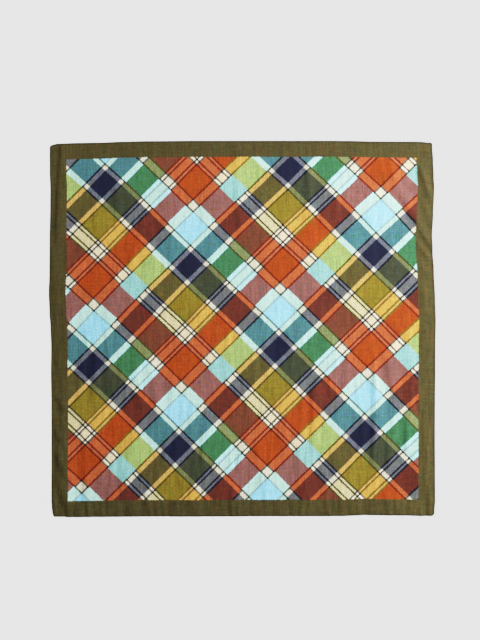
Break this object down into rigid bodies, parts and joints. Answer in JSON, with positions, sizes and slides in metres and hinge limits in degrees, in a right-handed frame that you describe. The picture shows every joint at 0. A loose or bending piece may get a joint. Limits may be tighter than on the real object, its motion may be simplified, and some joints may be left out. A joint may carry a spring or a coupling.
{
  "type": "bandana",
  "caption": "Square printed cotton bandana with a plaid field, a plain border and a narrow hem, opened out and lying flat with soft creases.",
  "frame": {"origin": "on the surface, under the middle of the cloth's outline", "axes": "+Z up from the surface, away from the face that lies down; +X to the right and +Y up as the printed face is looked down on"},
  "size_m": [0.544, 0.5292, 0.0038],
  "materials": {
    "printed_cotton": "matte plain-woven cotton, printed with a diagonal plaid and an olive border"
  },
  "bodies": {
    "root": {"cloth": "printed_cotton"}
  },
  "joints": []
}
